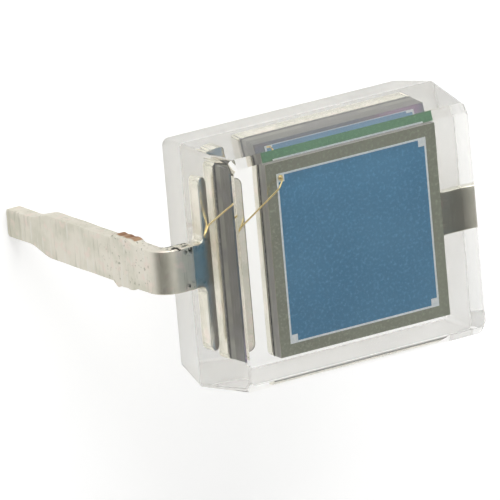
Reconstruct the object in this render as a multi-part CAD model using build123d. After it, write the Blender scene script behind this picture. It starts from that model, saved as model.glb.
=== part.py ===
from build123d import *
import math
import os

# A clear moulded photodiode with two formed leads, in millimetres.
# +Z looks out of the window, X runs from the anode lead to the cathode lead.
# The origin is the middle of the underside, which seats on a circuit board.

# Silicon chip
die_side = 3.10
die_thickness = 0.344
ring_inset = 0.185          # from the chip's edge to the contact ring
ring_line = 0.032           # width of the ring's line
bond_pad_side = 0.14        # square bond pad in each corner of the ring
film_thickness = 0.006      # oxide, coating and metal on the chip's face
attach_thickness = 0.020    # bond line of the die-attach adhesive
attach_spread = 0.008       # adhesive squeezed out past the chip

# Stamped lead frame
frame_thickness = 0.25
pad_margin = 0.03           # die pad past the chip, all round
pad_corner = 0.10
bar_width = 0.29            # anode cross bar, along X
bar_length = 2.80           # anode cross bar, along Y
bar_corner = 0.13
frame_gap = 0.28            # between the anode bar and the die pad
root_fillet = 0.14          # where a lead leaves its bar or pad

# Formed leads
lead_width = 0.70
lead_reach = 0.78           # window's end edge to the outer face of the leg
leg_splay = 0.08            # how far the leg leans out by the time it reaches its tip
bend_radius = 0.10          # inside radius of the bend
lead_drop = 3.47            # underside of the body to the lead's tip
tip_width = 0.45
tip_length = 0.71           # narrow end of the leg
tip_taper = 0.45            # length over which the leg narrows to it
taper_round = 0.75          # radius at both ends of the taper
stub_height = 0.05          # what is left of the dam bar, on both edges
stub_length = 0.65
stub_drop = 0.45            # underside of the body to the stub's lower end

# Moulded epoxy around the frame
epoxy_past_bar = 0.255      # window's end to the anode bar, along X
epoxy_past_pad = 0.35       # window's end to the die pad, along X
epoxy_beside_pad = 0.27     # window's side to the die pad, along Y
epoxy_under_frame = 0.688
epoxy_over_die = 0.742
parting_bulge_x = 0.16      # how far the parting line stands out past the window
parting_bulge_y = 0.11
face_corner = 0.12
parting_corner = 0.06
window_side_edge = 0.12     # bevel along the window's two long sides
window_end_edge = 0.03      # bevel at its two ends
base_edge = 0.05

# Gold bond wire
wire_diameter = 0.030
ball_diameter = 0.090
ball_height = 0.026
neck_height = 0.13          # wire's upright start above the chip's face
loop_height = 0.225         # top of the loop above the chip's face
loop_run = 0.17             # from the ball to the top of the loop, seen from above
stitch_inset = 0.075        # anode bar's outer edge to the end of the wire, along X
stitch_y = 0.46
touch_length = 0.22         # how much of the wire lies on the bar
stitch_length = 0.100
stitch_width = 0.062
stitch_height = 0.012

# Sizes that follow
pad_side = die_side + 2 * pad_margin
body_length = epoxy_past_bar + bar_width + frame_gap + pad_side + epoxy_past_pad
body_width = pad_side + 2 * epoxy_beside_pad
bar_x = -body_length / 2 + epoxy_past_bar + bar_width / 2
pad_x = body_length / 2 - epoxy_past_pad - pad_side / 2
frame_top = epoxy_under_frame + frame_thickness
frame_middle = epoxy_under_frame + frame_thickness / 2
die_base = frame_top + attach_thickness
film_base = die_base + die_thickness
die_face = film_base + film_thickness
body_height = die_face + epoxy_over_die
leg_face = body_length / 2 + lead_reach
tip_face = leg_face + leg_splay
ring_side = die_side - 2 * ring_inset


def slab(outline, base, thickness):
    """A flat outline, raised from height base by its thickness."""
    return extrude(Pos(0, 0, base) * outline, thickness)


def body_outline(height, end_bevel=0.0, side_bevel=0.0):
    """The body's outline at one height: drafted between each face and the parting line."""
    face_level = body_height if height > frame_middle else 0
    share = (height - face_level) / (frame_middle - face_level)
    return Pos(0, 0, height) * RectangleRounded(
        body_length + 2 * (share * parting_bulge_x - end_bevel),
        body_width + 2 * (share * parting_bulge_y - side_bevel),
        face_corner + share * (parting_corner - face_corner) - end_bevel)


def body_block():
    """The whole moulded form, with bevels round the window and a soft lower edge."""
    side_rise = window_side_edge - window_end_edge
    outlines = [
        body_outline(0),
        body_outline(frame_middle),
        body_outline(body_height - window_side_edge),
        body_outline(body_height - window_end_edge, 0, side_rise),
        body_outline(body_height, window_end_edge, window_side_edge),
    ]
    block = Part() + [loft(pair, ruled=True) for pair in zip(outlines, outlines[1:])]
    base_loop = block.faces().sort_by(Axis.Z)[0].edges()
    return fillet(base_loop, base_edge)


def lead_outline():
    """The leg seen along X: full width, dam-bar stubs, then the narrow tip. Y is across."""
    half = lead_width / 2
    tip = tip_width / 2
    stub_low = -stub_drop
    stub_high = stub_low + stub_length
    taper_low = -lead_drop + tip_length
    side = [
        (half, frame_top),
        (half, stub_high),
        (half + stub_height, stub_high - stub_height),
        (half + stub_height, stub_low + stub_height),
        (half, stub_low),
        (half, taper_low + tip_taper),
        (tip, taper_low),
        (tip, -lead_drop),
    ]
    other_side = [(-y, z) for y, z in reversed(side)]
    outline = Plane.YZ * make_face(Polyline(*side, *other_side, close=True))
    taper_ends = [
        v for v in outline.vertices()
        if min(abs(v.Z - taper_low), abs(v.Z - taper_low - tip_taper)) < 0.001]
    return fillet(taper_ends, taper_round)


def lead_strip(root_x):
    """Strip from root_x along +X, bent down into the leg."""
    outer = bend_radius + frame_thickness
    bend_x = leg_face - outer
    bend_z = frame_top - outer
    turn = math.sqrt(0.5)
    profile = Curve() + [
        Line((root_x, frame_top), (bend_x, frame_top)),
        ThreePointArc(
            (bend_x, frame_top),
            (bend_x + outer * turn, bend_z + outer * turn),
            (leg_face, bend_z)),
        Line((leg_face, bend_z), (tip_face, -lead_drop)),
        Line((tip_face, -lead_drop), (tip_face - frame_thickness, -lead_drop)),
        Line((tip_face - frame_thickness, -lead_drop), (leg_face - frame_thickness, bend_z)),
        ThreePointArc(
            (leg_face - frame_thickness, bend_z),
            (bend_x + bend_radius * turn, bend_z + bend_radius * turn),
            (bend_x, epoxy_under_frame)),
        Line((bend_x, epoxy_under_frame), (root_x, epoxy_under_frame)),
        Line((root_x, epoxy_under_frame), (root_x, frame_top)),
    ]
    strip = extrude(Plane.XZ * make_face(profile), lead_width / 2 + stub_height, both=True)
    blank = extrude(lead_outline(), tip_face + frame_thickness)
    return strip & blank


def plate_with_root(plate_x, length, width, corner):
    """Flat plate with the start of its lead on the +X side, filleted where they join."""
    plate = Pos(plate_x, 0) * RectangleRounded(length, width, corner)
    edge_x = plate_x + length / 2
    root_end = edge_x + 1.2 * root_fillet
    root = Pos((plate_x + root_end) / 2, 0) * Rectangle(root_end - plate_x, lead_width)
    outline = plate + root
    inner_corners = [
        v for v in outline.vertices()
        if abs(v.X - edge_x) < 0.001 and abs(abs(v.Y) - lead_width / 2) < 0.001]
    return fillet(inner_corners, root_fillet), root_end


def formed_lead(plate_x, length, width, corner):
    """One stamped piece: plate, root and bent lead, all leaving towards +X."""
    outline, root_end = plate_with_root(plate_x, length, width, corner)
    plate = slab(outline, epoxy_under_frame, frame_thickness)
    return plate + lead_strip(root_end - 0.5 * root_fillet)


def anode_lead():
    """Cross bar and lead on the -X side, drawn towards +X and turned round."""
    return Rot(0, 0, 180) * formed_lead(-bar_x, bar_width, bar_length, bar_corner)


def cathode_lead():
    """Die pad and lead on the +X side."""
    return formed_lead(pad_x, pad_side, pad_side, pad_corner)


def square(side):
    """A square on the chip's centre."""
    return Pos(pad_x, 0) * Rectangle(side, side)


def ring_outline():
    """Thin square line with a square bond pad inside each corner."""
    outline = square(ring_side) - square(ring_side - 2 * ring_line)
    offset = (ring_side - bond_pad_side) / 2
    for x_sign in (-1, 1):
        for y_sign in (-1, 1):
            place = Pos(pad_x + x_sign * offset, y_sign * offset)
            outline += place * Rectangle(bond_pad_side, bond_pad_side)
    return outline


def chip_layers():
    """Adhesive, silicon, and the three regions that share the chip's upper face."""
    ring = ring_outline()
    return {
        "die_attach": slab(square(die_side + 2 * attach_spread), frame_top, attach_thickness),
        "silicon_die": slab(square(die_side), die_base, die_thickness),
        "oxide_border": slab(square(die_side) - square(ring_side), film_base, film_thickness),
        "contact_ring": slab(ring, film_base, film_thickness),
        "active_area": slab(square(ring_side) - ring, film_base, film_thickness),
    }


def bond_wire():
    """Ball on the chip's corner pad, loop over the chip's edge, flattened stitch on the bar."""
    wire_radius = wire_diameter / 2
    corner_pad = (ring_side - bond_pad_side) / 2
    start = Vector(pad_x - corner_pad, corner_pad, 0)
    landing = Vector(bar_x - bar_width / 2 + stitch_inset, stitch_y, 0)
    run = (landing - start).length
    side_view = Plane(origin=start, x_dir=landing - start, z_dir=(landing - start).cross(Vector(0, 0, 1)))
    seat_z = frame_top + wire_radius
    path = side_view * FilletPolyline(
        (0, die_face + ball_height / 2),
        (0, die_face + neck_height),
        (loop_run, die_face + loop_height),
        (run - touch_length, seat_z),
        (run, seat_z),
        radius=[neck_height / 2, loop_run / 3, touch_length / 2])
    tube = sweep(Plane(origin=path @ 0, z_dir=path % 0) * Circle(wire_radius), path)
    ball = Pos(start.X, start.Y, die_face) * Cylinder(
        ball_diameter / 2, ball_height, align=(Align.CENTER, Align.CENTER, Align.MIN))
    ball = fillet(ball.edges().sort_by(Axis.Z)[-1], 0.4 * ball_height)
    stitch_plane = Plane(origin=landing + Vector(0, 0, frame_top), x_dir=landing - start, z_dir=(0, 0, 1))
    stitch = extrude(
        stitch_plane * SlotOverall(stitch_length, stitch_width), stitch_height)
    return tube + ball + stitch


def pieces():
    """Every piece by name, with the epoxy moulded round all the others."""
    parts = {"anode_lead": anode_lead(), "cathode_lead": cathode_lead()}
    parts.update(chip_layers())
    parts["bond_wire"] = bond_wire()
    epoxy = body_block()
    for part in parts.values():
        epoxy -= part
    parts["epoxy_body"] = epoxy
    return parts


os.makedirs("parts", exist_ok=True)
for name, part in pieces().items():
    export_step(part, f"parts/{name}.step")
    print(name, round(part.volume, 5))
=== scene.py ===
import math

import bmesh
import bpy
import numpy as np
from mathutils import Matrix, Vector


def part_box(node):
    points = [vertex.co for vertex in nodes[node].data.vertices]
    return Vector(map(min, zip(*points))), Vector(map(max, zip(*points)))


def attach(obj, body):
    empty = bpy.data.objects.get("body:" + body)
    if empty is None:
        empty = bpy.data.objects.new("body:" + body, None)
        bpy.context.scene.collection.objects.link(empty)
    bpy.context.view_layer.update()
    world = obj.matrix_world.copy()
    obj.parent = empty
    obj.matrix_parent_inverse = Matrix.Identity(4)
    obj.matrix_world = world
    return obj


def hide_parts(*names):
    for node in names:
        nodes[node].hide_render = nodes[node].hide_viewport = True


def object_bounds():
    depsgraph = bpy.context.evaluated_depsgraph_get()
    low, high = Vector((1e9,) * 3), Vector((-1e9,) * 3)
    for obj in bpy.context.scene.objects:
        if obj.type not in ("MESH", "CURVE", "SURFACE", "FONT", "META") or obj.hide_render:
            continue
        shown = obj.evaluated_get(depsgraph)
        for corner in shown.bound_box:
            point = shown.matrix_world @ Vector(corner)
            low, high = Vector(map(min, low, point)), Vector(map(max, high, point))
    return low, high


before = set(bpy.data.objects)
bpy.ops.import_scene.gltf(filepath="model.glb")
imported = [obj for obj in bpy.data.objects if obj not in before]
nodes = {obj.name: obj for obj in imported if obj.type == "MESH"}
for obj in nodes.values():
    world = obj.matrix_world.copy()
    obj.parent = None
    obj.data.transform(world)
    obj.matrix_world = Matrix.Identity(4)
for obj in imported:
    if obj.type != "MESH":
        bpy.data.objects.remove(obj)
cad_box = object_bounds()
mm = 0.001

# Camera: a long lens, 250 mm away, that looks down on the window past the anode lead. The
# part is held turned, so the picture is rolled about the line of sight.
view_azimuth = math.radians(240.57)
view_elevation = math.radians(55.61)
view_roll = math.radians(110.01)
view_distance = 250 * mm
view_centre = Vector((-1.6556, 0.2515, 1.5292)) * mm
view_width = 7.679 * mm

camera_data = bpy.data.cameras.new("camera")
camera_data.sensor_width = 36
camera_data.lens = camera_data.sensor_width * view_distance / view_width
camera_data.clip_start = 10 * mm
camera_data.clip_end = 1
camera = bpy.data.objects.new("camera", camera_data)
bpy.context.scene.collection.objects.link(camera)
toward_viewer = Vector((
    math.sin(view_azimuth) * math.cos(view_elevation),
    -math.cos(view_azimuth) * math.cos(view_elevation),
    math.sin(view_elevation)))
upright = (-toward_viewer).to_track_quat("-Z", "Y").to_matrix()
rolled = Matrix.Rotation(view_roll, 3, toward_viewer) @ upright
camera.matrix_world = Matrix.Translation(
    view_centre + view_distance * toward_viewer) @ rolled.to_4x4()
bpy.context.scene.camera = camera
bpy.context.scene.view_settings.view_transform = "Standard"


class Shade:
    """A value in a material's nodes, on which Python operators add Math nodes."""

    def __init__(self, tree, output=None):
        self.tree = tree
        self.output = output

    def node(self, kind, settings=None, inputs=None, output=0):
        """Adds a node: its settings first, then the values or links of its inputs."""
        made = self.tree.nodes.new(kind)
        for name, value in (settings or {}).items():
            setattr(made, name, value)
        for name, value in (inputs or {}).items():
            if isinstance(value, Shade):
                self.tree.links.new(value.output, made.inputs[name])
            else:
                made.inputs[name].default_value = value
        return Shade(self.tree, made.outputs[output])

    def math(self, operation, *values):
        """A Math node on these numbers or values."""
        return self.node(
            "ShaderNodeMath", {"operation": operation}, dict(enumerate(values)))

    def __add__(self, other):
        return self.math("ADD", self, other)

    __radd__ = __add__

    def __sub__(self, other):
        return self.math("SUBTRACT", self, other)

    def __rsub__(self, other):
        return self.math("SUBTRACT", other, self)

    def __mul__(self, other):
        return self.math("MULTIPLY", self, other)

    __rmul__ = __mul__

    def __abs__(self):
        return self.math("ABSOLUTE", self)

    def clamp(self):
        return self.node("ShaderNodeClamp", None, {"Value": self})

    def step(self, low, high):
        """Goes smoothly from 0 at low to 1 at high."""
        return self.node("ShaderNodeMapRange", {"interpolation_type": "SMOOTHSTEP"},
                         {"Value": self, "From Min": low, "From Max": high})

    def mix(self, first, second):
        """The first colour where this is 0, the second where it is 1."""
        first = first if isinstance(first, Shade) else (*first, 1)
        second = second if isinstance(second, Shade) else (*second, 1)
        return self.node("ShaderNodeMix", {"data_type": "RGBA"},
                         {"Factor": self, 6: first, 7: second}, output=2)


def new_material(name):
    """An empty node material and the Shade that starts its tree."""
    material = bpy.data.materials.new(name)
    material.use_nodes = True
    material.node_tree.nodes.clear()
    return material, Shade(material.node_tree)


def surface(tree, shader):
    """Makes the shader the material's surface."""
    output = tree.tree.nodes.new("ShaderNodeOutputMaterial")
    tree.tree.links.new(shader.output, output.inputs["Surface"])


def millimetres(tree):
    """The point on the piece, as a vector in millimetres."""
    point = tree.node("ShaderNodeTexCoord", output="Object")
    return tree.node("ShaderNodeVectorMath", {"operation": "SCALE"},
                     {0: point, "Scale": 1000.0})


def axes(point):
    """The x, y and z of a point, each as a value of its own."""
    split = point.node("ShaderNodeSeparateXYZ", None, {0: point})
    return [Shade(point.tree, socket) for socket in split.output.node.outputs]


def noise(tree, point, scale, detail=2.0, roughness=0.5):
    """Soft noise from 0 to 1, with scale features in a millimetre."""
    return tree.node("ShaderNodeTexNoise", None, {
        "Vector": point, "Scale": scale, "Detail": detail, "Roughness": roughness})


def bump(tree, height, strength, distance_mm):
    """A normal from a height that runs from 0 to 1 over distance_mm."""
    return tree.node("ShaderNodeBump", None, {
        "Height": height, "Strength": strength, "Distance": distance_mm * mm})


# Studio: a white sweep that fills the picture, one broad soft lamp on the +Y side and a
# room that is darker behind the camera. The floor keeps a faint shadow of the part.
floor_gap = 0.02 * mm
floor_half = 400 * mm
lamp_side = 220 * mm
lamp_distance = 300 * mm
lamp_power = 0.55
lamp_side_on = (-0.1, 0.85, 0.65)
dark_side = (-0.834, -0.281, 0.472)
floor_glow = 0.22
floor_glow_seen = 0.48
seen_through_resin = 0.8

world = bpy.data.worlds.new("studio")
world.use_nodes = True
world.node_tree.nodes.clear()
sky = Shade(world.node_tree)
direction = sky.node("ShaderNodeTexCoord", output="Generated")
height = axes(direction)[2]
facing = sky.node("ShaderNodeVectorMath", {"operation": "DOT_PRODUCT"},
                  {0: direction, 1: dark_side}, output="Value")
ceiling = height.step(0.1, 0.95).mix((0.95, 0.95, 0.95), (0.62, 0.62, 0.61))
room = sky.node("ShaderNodeBackground", None, {
    "Color": facing.step(0.55, 0.9).mix(ceiling, (0.10, 0.10, 0.09)), "Strength": 1.0})
white = sky.node("ShaderNodeBackground", None, {"Color": (1, 1, 1, 1), "Strength": 1.0})
seen = sky.node("ShaderNodeLightPath", output="Is Camera Ray")
both = sky.node("ShaderNodeMixShader", None, {0: seen, 1: room, 2: white})
world_output = world.node_tree.nodes.new("ShaderNodeOutputWorld")
world.node_tree.links.new(both.output, world_output.inputs["Surface"])
bpy.context.scene.world = world

floor_z = cad_box[0].z - floor_gap
floor_mesh = bpy.data.meshes.new("floor")
floor_mesh.from_pydata(
    [(x * floor_half, y * floor_half, floor_z) for x, y in ((-1, -1), (1, -1), (1, 1), (-1, 1))],
    [], [(0, 1, 2, 3)])
floor = bpy.data.objects.new("floor", floor_mesh)
bpy.context.scene.collection.objects.link(floor)
floor_material, tree = new_material("white_sweep")
sweep = [tree.node("ShaderNodeBsdfPrincipled", None, {
    "Base Color": (0.7, 0.7, 0.7, 1), "Roughness": 1.0,
    "Emission Color": (1, 1, 1, 1), "Emission Strength": glow})
    for glow in (floor_glow, floor_glow_seen)]
looked_at = tree.node("ShaderNodeLightPath", output="Is Camera Ray")
through_resin = tree.node("ShaderNodeLightPath", output="Is Transmission Ray")
surface(tree, tree.node("ShaderNodeMixShader", None, {
    0: tree.math("MAXIMUM", looked_at, seen_through_resin * through_resin),
    1: sweep[0], 2: sweep[1]}))
floor_mesh.materials.append(floor_material)

lamp_data = bpy.data.lights.new("soft_lamp", "AREA")
lamp_data.shape = "SQUARE"
lamp_data.size = lamp_side
lamp_data.energy = lamp_power
lamp = bpy.data.objects.new("soft_lamp", lamp_data)
lamp_place = Vector(lamp_side_on).normalized()
lamp.matrix_world = Matrix.Translation(lamp_distance * lamp_place) @ (
    -lamp_place).to_track_quat("-Z", "Y").to_matrix().to_4x4()
bpy.context.scene.collection.objects.link(lamp)

# Lead frame: the cathode's die pad and the anode's cross bar, each stamped from copper
# strip in one piece with its lead, tinned, sheared off the dam bar and bent down.
strip = 0.25 * mm
lead_width = 0.70 * mm
root_fillet = 0.14 * mm
inside_bend = 0.10 * mm
leg_face = 2.9475 * mm
leg_splay = 0.08 * mm
frame_top = 0.938 * mm
tip_drop = 3.47 * mm
tip_width = 0.45 * mm
tip_corner = 0.05 * mm
taper = (0.608 * mm, 1.262 * mm)        # these four are distances from the tip
stub_start = (3.00 * mm, 3.09 * mm)
stub_finish = (3.56 * mm, 3.70 * mm)
nib_place = 3.14 * mm
stub_height = 0.05 * mm
nib_spread = 0.035 * mm
nib_height = 0.035 * mm
edge_wave = 0.004 * mm
edge_round = 0.022 * mm
row_step = 0.025 * mm
bend_x = leg_face - inside_bend - strip
bend_z = frame_top - strip - inside_bend
middle_bend = inside_bend + strip / 2
splay = math.atan2(leg_splay, bend_z + tip_drop)
weld_step = 1e-5 * mm


def arc(centre, radius, start, end, count=9):
    """Points round a circle from one angle to another, in degrees."""
    turn = np.radians(np.linspace(start, end, count))
    return np.column_stack([centre[0] + radius * np.cos(turn),
                            centre[1] + radius * np.sin(turn)])


def smooth_step(value, low, high):
    """3t^2 - 2t^3 on t, which runs from 0 at low to 1 at high."""
    share = np.clip((value - low) / (high - low), 0, 1)
    return share * share * (3 - 2 * share)


def leg_half_width(to_tip, nib):
    """Half the strip's width against the distance to the tip: full width, a sheared stub of
    the dam bar as a worn trapezoid, a smooth S down to the tip and a rounded corner."""
    width = tip_width / 2 + smooth_step(to_tip, *taper) * (lead_width - tip_width) / 2
    ramp = np.minimum(smooth_step(to_tip, *stub_start),
                      1 - smooth_step(to_tip, *stub_finish))
    width += stub_height * ramp * (1 + 0.12 * np.sin(to_tip / mm * 31))
    width += nib * np.exp(-((to_tip - nib_place) / nib_spread) ** 2)
    width += edge_wave * np.sin(to_tip / mm * 5.1 + 1) * np.sin(to_tip / mm * 2.3)
    near = np.clip(tip_corner - to_tip, 0, tip_corner)
    return width - tip_corner + np.sqrt(tip_corner ** 2 - near ** 2)


def mesh_piece(name, grids):
    """Welds grids of points (rows by columns by three) into one closed skin that faces out."""
    points, faces, start = [], [], 0
    for grid in grids:
        rows, columns = grid.shape[:2]
        corner = start + (np.arange(rows - 1)[:, None] * columns + np.arange(columns - 1))
        faces.append(np.stack(
            [corner, corner + 1, corner + columns + 1, corner + columns], -1).reshape(-1, 4))
        points.append(grid.reshape(-1, 3))
        start += rows * columns
    keys = np.round(np.concatenate(points) / weld_step).astype(np.int64)
    keys, place = np.unique(keys, axis=0, return_inverse=True)
    quads = place.reshape(-1)[np.concatenate(faces)]
    folded = quads[:, 0] == quads[:, 1]
    mesh = bpy.data.meshes.new(name)
    mesh.from_pydata((keys * weld_step).tolist(), [],
                     quads[~folded].tolist() + quads[folded][:, [0, 2, 3]].tolist())
    mesh.validate()
    shape = bmesh.new()
    shape.from_mesh(mesh)
    bmesh.ops.dissolve_degenerate(shape, dist=weld_step, edges=shape.edges)
    bmesh.ops.recalc_face_normals(shape, faces=shape.faces)
    shape.to_mesh(mesh)
    shape.free()
    made = bpy.data.objects.new(name, mesh)
    bpy.context.scene.collection.objects.link(made)
    return made


def soften(piece):
    """Smooth shading that keeps the large faces flat and the creases sharp."""
    piece.data.shade_smooth()
    piece.data.set_sharp_from_angle(angle=math.radians(28))
    weighted = piece.modifiers.new("flat_faces", "WEIGHTED_NORMAL")
    weighted.mode = "FACE_AREA"
    weighted.weight = 100
    weighted.keep_sharp = True


def stamped_outline(length, half_width, corner, total, nib):
    """One side of the flat strip: plate corners as arcs, a wall, the root's fillet as an
    arc, then the leg. Rows are the distance along the strip and the half width there."""
    half = lead_width / 2
    along = np.arange(length + root_fillet + 0.02 * mm, total - tip_corner - 0.01 * mm, row_step)
    along = np.concatenate([along, total - tip_corner * np.cos(np.linspace(0, math.pi / 2, 7))])
    leg = np.column_stack([along, leg_half_width(total - along, nib)])
    wall = np.array([length + 0.0005 * mm, (half_width - corner + half + root_fillet) / 2])
    return np.concatenate([
        arc((corner, half_width - corner), corner, 180, 90),
        arc((length - corner, half_width - corner), corner, 90, 0),
        [wall],
        arc((length + root_fillet + 0.001 * mm, half + root_fillet), root_fillet, 180, 270),
        leg])


def outward(outline):
    """Unit normals of an outline: its slope, turned a quarter."""
    slope = np.gradient(outline, axis=0)
    normal = np.column_stack([-slope[:, 1], slope[:, 0]])
    return normal / np.linalg.norm(normal, axis=1)[:, None]


def strip_profile(columns=6, edge_steps=4):
    """Once round the strip's section: place across from -1 to 1, inset and height. Flat
    faces joined by quarter circles: inset r(1 - sin a), height h - r(1 - cos a)."""
    turn = np.linspace(0, math.pi / 2, edge_steps + 1)
    inset = edge_round * (1 - np.sin(turn))
    rise = strip / 2 - edge_round * (1 - np.cos(turn))
    inset = np.concatenate([inset, inset[::-1]])
    rise = np.concatenate([rise, -rise[::-1]])
    across = np.linspace(-1, 1, columns + 1)
    flat = np.full(columns - 1, edge_round)
    level = np.full(columns - 1, strip / 2)
    ones = np.ones_like(inset)
    place = np.concatenate([-ones[:1], across[1:-1], ones, across[::-1][1:-1], -ones])
    around_inset = np.concatenate([inset[:1], flat, inset, flat, inset[::-1]])
    around_rise = np.concatenate([rise[:1], level, rise, -level, rise[::-1]])
    return place, around_inset, around_rise, across, inset, rise


def bent(along, across, rise, start_x):
    """Carries a flat strip along its path: level, round the bend by the angle that the
    distance along it gives, then straight down with a slight splay."""
    turn_end = math.pi / 2 - splay
    past = along - (bend_x - start_x)
    turn = np.clip(past / middle_bend, 0, turn_end)
    down = np.maximum(past - middle_bend * turn_end, 0)
    level = np.minimum(past, 0)
    x = bend_x + level + (middle_bend + rise) * np.sin(turn) + down * math.cos(turn_end)
    z = bend_z + (middle_bend + rise) * np.cos(turn) - down * math.sin(turn_end)
    return np.stack([x, across, z], -1)


def stamped_lead(name, start_x, length, half_width, corner, sign):
    """The whole stamping: two outlines, one for each edge, with the section's inset taken
    along their normals, and both ends closed by the section's own face. It is made towards
    +X, and a sign of -1 turns it round."""
    outer = inside_bend + strip
    drop = (bend_z + outer * math.sin(splay) + tip_drop) / math.cos(splay)
    total = leg_face - outer - start_x + middle_bend * (math.pi / 2 - splay) + drop
    sides = [stamped_outline(length, half_width, corner, total, nib)
             for nib in (0.0, nib_height)]
    normals = [outward(side) for side in sides]
    place, inset, rise, across, end_inset, end_rise = strip_profile()

    def section(rows, place, inset, rise):
        """Points for some rows of the outlines and some places of the section."""
        edges = [side[rows, None, :] - normal[rows, None, :] * inset[..., None]
                 for side, normal in zip(sides, normals)]
        share = (place + 1) / 2
        along = (1 - share) * edges[0][..., 0] + share * edges[1][..., 0]
        width = share * edges[1][..., 1] - (1 - share) * edges[0][..., 1]
        return bent(along, width, np.broadcast_to(rise, along.shape), start_x)

    rows = np.arange(len(sides[0]))
    skin = section(rows, place, inset, rise)
    flat_place = np.broadcast_to(across, (len(end_inset), len(across)))
    ends = [np.stack([section(np.array([row]), flat_place[k], np.full(len(across), end_inset[k]),
                              np.full(len(across), end_rise[k]))[0]
                      for k in range(len(end_inset))]) for row in (0, len(rows) - 1)]
    turned = np.array([sign, sign, 1])
    piece = mesh_piece(name, [skin * turned] + [end * turned for end in ends])
    soften(piece)
    return piece


def tinned_copper():
    """Dull tin on copper: cloudy warm silver, fine grain and lines across the strip, pits by
    the bend, dark tears where it leaves the resin, smoother in the resin, and bare copper
    where the dam bar was sheared off, behind a lip of tin that the shear drew over."""
    material, tree = new_material("tinned_copper")
    point = millimetres(tree)
    x, y, z = axes(point)
    cloud = noise(tree, point, 2.2, 3.0).step(0.35, 0.65)
    tone = cloud.mix((0.87, 0.83, 0.73), (0.76, 0.74, 0.63))
    tone = noise(tree, point, 5.0, 2.0).step(0.52, 0.72).mix(tone, (0.88, 0.79, 0.70))
    across = tree.node("ShaderNodeVectorMath", {"operation": "MULTIPLY"},
                       {0: point, 1: (9.0, 0.9, 9.0)})
    lines = noise(tree, across, 1.6, 3.0, 0.6)
    grain = noise(tree, point, 26.0, 3.0, 0.65)
    near_bend = z.step(-1.0, -0.3) * (1 - z.step(0.5, 0.75))
    pits = noise(tree, point, 17.0, 2.0).step(0.60, 0.72) * near_bend
    tone = (0.8 * pits).mix(tone, (0.42, 0.41, 0.32))
    tone = (0.5 * lines.step(0.56, 0.72)).mix(tone, (0.50, 0.48, 0.39))
    tone = (0.6 * (1 - lines.step(0.30, 0.42))).mix(tone, (0.90, 0.88, 0.82))
    cracks = noise(tree, point, 11.0, 3.0, 0.7).step(0.50, 0.54)
    at_exit = abs(x).step(2.32, 2.35) * (1 - abs(x).step(2.42, 2.52))
    torn_top = at_exit * abs(y).step(0.18, 0.30) * z.step(0.5, 0.7)
    half_width = lead_width / 2 / mm
    upper_edge = y.step(half_width - 0.038, half_width - 0.024)
    torn_edge = upper_edge * abs(x).step(2.32, 2.34) * (1 - abs(x).step(2.62, 2.80))
    tone = (cracks * tree.math("MAXIMUM", torn_top, torn_edge)).mix(tone, (0.03, 0.03, 0.02))
    stub_side = abs(y).step(half_width + 0.025, half_width + 0.038)
    sheared = stub_side * z.step(-0.50, -0.44) * (1 - z.step(0.14, 0.22))
    behind_face = (leg_face / mm - abs(x)) + math.tan(splay) * (bend_z / mm - z)
    bared = sheared * behind_face.step(0.06, 0.10)
    copper = noise(tree, point, 9.0, 2.0).step(0.35, 0.7).mix(
        (0.30, 0.15, 0.07), (0.52, 0.33, 0.20))
    tone = bared.mix(tone, copper)
    in_resin = 1 - abs(x).step(2.30, 2.34)
    rough = (0.34 + 0.16 * grain + 0.08 * cloud + 0.15 * pits) * (1 - 0.54 * in_resin)
    height = 0.45 * grain + 0.55 * lines + 0.5 * cloud - 0.7 * pits
    surface(tree, tree.node("ShaderNodeBsdfPrincipled", None, {
        "Base Color": tone, "Metallic": 1.0, "Roughness": rough,
        "Normal": bump(tree, height, 0.35, 0.005)}))
    return material


pad_low, pad_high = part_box("die_attach")
pad_past_adhesive = 0.022 * mm
die_pad = {"start_x": pad_low.x - pad_past_adhesive,
           "length": pad_high.x - pad_low.x + 2 * pad_past_adhesive,
           "half_width": pad_high.y + pad_past_adhesive, "corner": 0.10 * mm, "sign": 1}
cross_bar = {"start_x": 1.6225 * mm, "length": 0.29 * mm, "half_width": 1.40 * mm,
             "corner": 0.13 * mm, "sign": -1}
lead_metal = tinned_copper()
for name, plate in (("cathode_lead", die_pad), ("anode_lead", cross_bar)):
    lead = stamped_lead("stamped_" + name, **plate)
    lead.data.materials.append(lead_metal)
    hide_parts(name)
    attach(lead, "root")


def paint(name, material):
    """Gives a CAD node its one material."""
    data = nodes[name].data
    data.materials.clear()
    data.materials.append(material)


# Die attach: the thin line of silver-filled adhesive that squeezes out round the chip.
def adhesive():
    """Grey paste with coarse silver flakes."""
    material, tree = new_material("silver_adhesive")
    flakes = noise(tree, millimetres(tree), 30.0, 2.0)
    surface(tree, tree.node("ShaderNodeBsdfPrincipled", None, {
        "Base Color": flakes.step(0.4, 0.7).mix((0.07, 0.07, 0.07), (0.30, 0.30, 0.29)),
        "Metallic": 0.4, "Roughness": 0.45 + 0.2 * flakes,
        "Normal": bump(tree, flakes, 0.5, 0.006)}))
    return material


paint("die_attach", adhesive())


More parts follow.
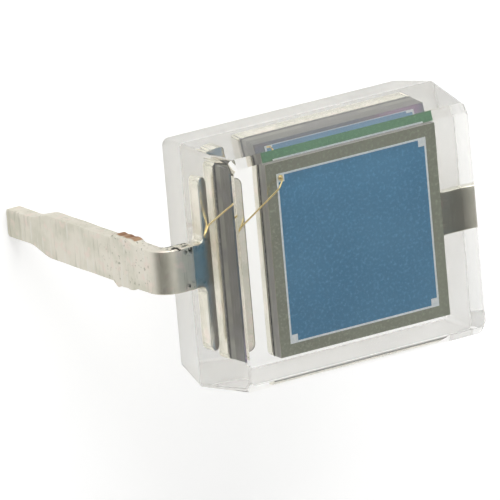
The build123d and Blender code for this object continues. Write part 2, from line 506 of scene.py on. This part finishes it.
# Silicon chip: sawn from the wafer in two cuts, so each wall has a smoother upper band, a
# step and a rougher grey lower band with fine lines along it.
def sawn_silicon():
    """Dark silicon with saw lines that follow the wafer's plane, and painted shade at the foot
    of each wall.
    """
    material, tree = new_material("sawn_silicon")
    point = millimetres(tree)
    z = axes(point)[2]
    along = tree.node("ShaderNodeVectorMath", {"operation": "MULTIPLY"},
                      {0: point, 1: (1.0, 1.0, 30.0)})
    lines = noise(tree, along, 2.0, 3.0, 0.6)
    cloud = noise(tree, point, 3.0, 2.0)
    below_step = 1 - z.step(1.08, 1.10)
    tone = below_step.mix((0.23, 0.225, 0.20), (0.34, 0.335, 0.29))
    tone = cloud.step(0.4, 0.7).mix(tone, (0.26, 0.25, 0.24))
    tone = lines.step(0.55, 0.8).mix(tone, (0.42, 0.41, 0.37))
    # Painted shade: a near-black band along the foot of the wall, where the chip meets the
    # adhesive.
    shaded_foot = 1 - z.step(0.965, 0.99)
    tone = shaded_foot.mix(tone, (0.08, 0.08, 0.07))
    surface(tree, tree.node("ShaderNodeBsdfPrincipled", None, {
        "Base Color": tone, "Metallic": 0.3, "Roughness": 0.30 + 0.2 * lines,
        "Normal": bump(tree, lines, 0.4, 0.004)}))
    return material


paint("silicon_die", sawn_silicon())


# Chip's face: olive field oxide at the edge, the blue anti-reflection coating over the
# light-sensitive area, and the evaporated metal ring with its corner pads between them.
def film(name, colour, other, rough, mottle, index, thickness=0.0):
    """A polished film whose colour drifts a little with its thickness. Where a thickness in
    nanometres is given, light also interferes in it and its colour turns with the angle."""
    material, tree = new_material(name)
    point = millimetres(tree)
    drift = noise(tree, point, 0.5, 2.0)
    fine = noise(tree, point, mottle, 2.0, 0.6)
    tone = drift.step(0.3, 0.7).mix(colour, other)
    lighter = tuple(1.35 * value + 0.01 for value in other)
    tone = fine.step(0.45, 0.85).mix(tone, lighter)
    surface(tree, tree.node("ShaderNodeBsdfPrincipled", None, {
        "Base Color": tone, "Roughness": rough + 0.1 * fine, "IOR": index,
        "Thin Film Thickness": thickness, "Thin Film IOR": 1.25,
        "Normal": bump(tree, fine, 0.15, 0.002)}))
    return material


paint("oxide_border", film("field_oxide", (0.09, 0.11, 0.08), (0.13, 0.155, 0.115),
                           rough=0.14, mottle=22.0, index=2.9, thickness=708.0))
paint("active_area", film("blue_coating", (0.062, 0.225, 0.39), (0.085, 0.265, 0.44),
                          rough=0.16, mottle=20.0, index=1.4))


def evaporated_metal():
    """Thin bright aluminium with a fine grain."""
    material, tree = new_material("evaporated_aluminium")
    grain = noise(tree, millimetres(tree), 24.0, 2.0)
    surface(tree, tree.node("ShaderNodeBsdfPrincipled", None, {
        "Base Color": grain.step(0.35, 0.7).mix((0.80, 0.86, 0.88), (0.93, 0.96, 0.96)),
        "Metallic": 0.6, "Roughness": 0.42 + 0.2 * grain,
        "Normal": bump(tree, grain, 0.3, 0.002)}))
    return material


paint("contact_ring", evaporated_metal())

# Bond wire: one length of gold wire, its ball pressed on the corner pad, looped over the
# chip's edge and down to the cross bar, where the tool flattened its end into a stitch.
wire_radius = 0.015 * mm
ball_radius = 0.045 * mm
ball_height = 0.026 * mm
neck_height = 0.13 * mm
loop_height = 0.225 * mm
loop_run = 0.17 * mm
touch_length = 0.22 * mm
tail_length = 0.03 * mm
tail_height = 0.004 * mm
chip_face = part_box("contact_ring")[1].z
wire_start = Vector((-1.0575, 1.295, 0)) * mm
wire_end = Vector((-1.8375, 0.46, 0)) * mm
wire_run = (wire_end - wire_start).length
seat = frame_top + wire_radius
corners = np.array([
    (0, chip_face), (0, chip_face + neck_height), (loop_run, chip_face + loop_height),
    (wire_run - touch_length, seat), (wire_run + tail_length, frame_top + tail_height)])


def rounded_path(corners, reach, arc_steps=10):
    """Straight runs joined by curves: near each corner the path is the quadratic curve
    (1-t)^2 a + 2t(1-t) b + t^2 c from a point before the corner b to a point after it."""
    pieces = [corners[:1]]
    t = np.linspace(0, 1, arc_steps + 1)[:, None]
    for before, corner, after in zip(corners, corners[1:], corners[2:]):
        a = corner + (before - corner) / np.linalg.norm(before - corner) * reach
        c = corner + (after - corner) / np.linalg.norm(after - corner) * reach
        pieces.append((1 - t) ** 2 * a + 2 * t * (1 - t) * corner + t ** 2 * c)
    return np.concatenate(pieces + [corners[-1:]])


def spaced(path, step):
    """The same path with points at equal steps along it."""
    length = np.concatenate([[0], np.cumsum(np.linalg.norm(np.diff(path, axis=0), axis=1))])
    at = np.linspace(0, length[-1], int(length[-1] / step))
    return np.column_stack([np.interp(at, length, path[:, k]) for k in (0, 1)]), at


def bonded_wire(corner_reach=0.045 * mm, point_step=0.006 * mm):
    """An ellipse carried along the path: a wide low ball at the start, round wire, then
    wide and flat in the stitch."""
    path, at = spaced(rounded_path(corners, corner_reach), point_step)
    ball = np.sqrt(np.clip(1 - ((at - 0.45 * ball_height) / (0.62 * ball_height)) ** 2, 0, 1))
    radius = np.maximum(wire_radius, ball_radius * (0.35 * ball ** 0.5 + 0.65 * ball))
    stitch = smooth_step(at, at[-1] - 0.12 * mm, at[-1] - 0.03 * mm)
    closing = np.sqrt(np.clip((at[-1] - at) / (0.02 * mm), 0, 1))
    wide = (radius + stitch * 0.016 * mm) * np.maximum(closing, 0.02)
    thick = (radius - stitch * 0.009 * mm) * np.maximum(closing, 0.02)
    turn = np.linspace(0, 2 * math.pi, 17)
    ahead = (wire_end - wire_start).normalized()
    ahead = np.array([ahead.x, ahead.y])
    slope = np.gradient(path, axis=0)
    slope /= np.linalg.norm(slope, axis=1)[:, None]
    over = path[:, :1] - slope[:, 1:] * (thick[:, None] * np.sin(turn))
    height = path[:, 1:] + slope[:, :1] * (thick[:, None] * np.sin(turn))
    side = wide[:, None] * np.cos(turn)
    x = wire_start.x + over * ahead[0] - side * ahead[1]
    y = wire_start.y + over * ahead[1] + side * ahead[0]
    skin = np.stack([x, y, height], -1)
    skin[:, -1] = skin[:, 0]
    ends = [np.stack([np.broadcast_to(row.mean(0), row.shape), row])
            for row in (skin[0], skin[-1])]
    return mesh_piece("gold_wire", [skin] + ends)


def drawn_gold():
    """Bright gold with faint lines along the wire."""
    material, tree = new_material("drawn_gold")
    grain = noise(tree, millimetres(tree), 40.0, 2.0)
    surface(tree, tree.node("ShaderNodeBsdfPrincipled", None, {
        "Base Color": grain.step(0.4, 0.7).mix((0.80, 0.60, 0.24), (0.93, 0.80, 0.45)),
        "Metallic": 1.0, "Roughness": 0.22 + 0.2 * grain,
        "Normal": bump(tree, grain, 0.3, 0.002)}))
    return material


wire = bonded_wire()
wire.data.shade_smooth()
wire.data.materials.append(drawn_gold())
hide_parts("bond_wire")
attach(wire, "root")

# Moulded body: clear epoxy cast round the lead frame, drafted both ways from the parting
# line where the leads come out. The window's half of the mould is polished, the other matt.
body_low, body_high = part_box("epoxy_body")
bulge_x = 0.16 * mm
bulge_y = 0.11 * mm
parting_z = 0.813 * mm
face_corner = 0.12 * mm
parting_corner = 0.06 * mm
side_edge = 0.12 * mm
end_edge = 0.03 * mm
base_edge = 0.05 * mm


def rounded_outline(half_x, half_y, corner, height, arc_steps=8):
    """A rectangle with round corners at one height: each corner's centre plus its radius
    times the cosine and sine of the turn. The first point comes again at the end."""
    turn = np.linspace(0, math.pi / 2, arc_steps + 1)
    quarters = np.concatenate([turn + k * math.pi / 2 for k in range(4)])
    side_x = np.repeat([1, -1, -1, 1], arc_steps + 1)
    side_y = np.repeat([1, 1, -1, -1], arc_steps + 1)
    x = side_x * (half_x - corner) + corner * np.cos(quarters)
    y = side_y * (half_y - corner) + corner * np.sin(quarters)
    ring = np.column_stack([x, y, np.full_like(x, height)])
    return np.concatenate([ring, ring[:1]])


def body_rings():
    """Underside edge, lower draft, parting line, upper draft, window bevels: at each height
    the half sides and the corner run in a straight line from face to parting line."""
    height = body_high.z
    edge = np.linspace(0, math.pi / 2, 9)
    side_rise = side_edge - end_edge
    z = np.concatenate([body_low.z + base_edge * (1 - np.cos(edge)), [parting_z],
                        [height - side_edge, height - end_edge, height]])
    base_in = np.append(base_edge * (1 - np.sin(edge)), 0)
    in_x = np.concatenate([base_in, [0, 0, end_edge]])
    in_y = np.concatenate([base_in, [0, side_rise, side_edge]])
    share = np.where(z < parting_z, z / parting_z, (height - z) / (height - parting_z))
    half_x = body_high.x - bulge_x + share * bulge_x - in_x
    half_y = body_high.y - bulge_y + share * bulge_y - in_y
    corner = face_corner + share * (parting_corner - face_corner) - in_x
    return np.stack([rounded_outline(*ring) for ring in zip(half_x, half_y, corner, z)])


def clear_epoxy():
    """Water-clear moulded resin with the faint ripple that a mould leaves, matt below the
    parting line, with a broken white line of flash along it."""
    material, tree = new_material("clear_epoxy")
    point = millimetres(tree)
    z = axes(point)[2]
    ripple = noise(tree, point, 1.2, 1.0)
    above_parting = z - parting_z / mm
    matt = 1 - above_parting.step(-0.02, 0.02)
    glass = tree.node("ShaderNodeBsdfPrincipled", None, {
        "Base Color": (0.985, 0.985, 0.975, 1), "Roughness": 0.02 + 0.68 * matt, "IOR": 1.53,
        "Transmission Weight": 1.0, "Normal": bump(tree, ripple, 0.2, 0.01)})
    flash = (1 - abs(above_parting).step(0.004, 0.016)) * noise(tree, point, 9.0, 2.0)
    haze = tree.node("ShaderNodeBsdfDiffuse", None, {"Color": (0.95, 0.95, 0.94, 1)})
    surface(tree, tree.node("ShaderNodeMixShader", None, {
        0: (1.1 * flash).clamp(), 1: glass, 2: haze}))
    return material


rings = body_rings()
flat_ends = [np.stack([ring * (0, 0, 1), ring]) for ring in (rings[0], rings[-1])]
body = mesh_piece("moulded_body", [rings] + flat_ends)
soften(body)
body.data.materials.append(clear_epoxy())
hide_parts("epoxy_body")
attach(body, "root")
